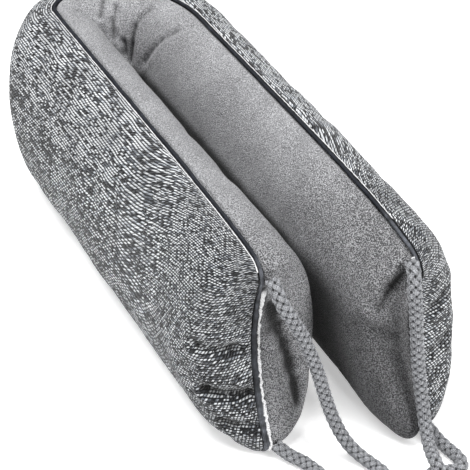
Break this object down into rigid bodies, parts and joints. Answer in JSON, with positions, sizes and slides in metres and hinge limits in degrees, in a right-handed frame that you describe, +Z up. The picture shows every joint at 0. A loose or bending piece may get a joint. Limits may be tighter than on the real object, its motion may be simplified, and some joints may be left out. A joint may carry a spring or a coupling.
{
  "type": "draught excluder",
  "caption": "Long filled cushion folded into a U on its lower seam, tweed outside and plain velour inside, with a piped edge and a plaited rope loop at each end.",
  "frame": {"origin": "centre of the underside of the cushion's bounding box without its ropes, on the surface that it stands on", "axes": "+Z up, +Y from the open ends to the bend, +X from the shorter arm to the longer one"},
  "size_m": [0.1768, 0.5058, 0.16],
  "materials": {
    "tweed": "coarse woven melange of black, white and light blue-grey yarns",
    "plain_velour": "fine matt velour, mid grey",
    "piping_cover": "smooth charcoal, slightly glossy",
    "rope_wool": "plaited woolly yarn, blue-grey"
  },
  "bodies": {
    "root": {"outer_panel": "tweed", "inner_panel": "plain_velour", "piping": "piping_cover", "handle_left": "rope_wool", "handle_right": "rope_wool"}
  },
  "joints": []
}
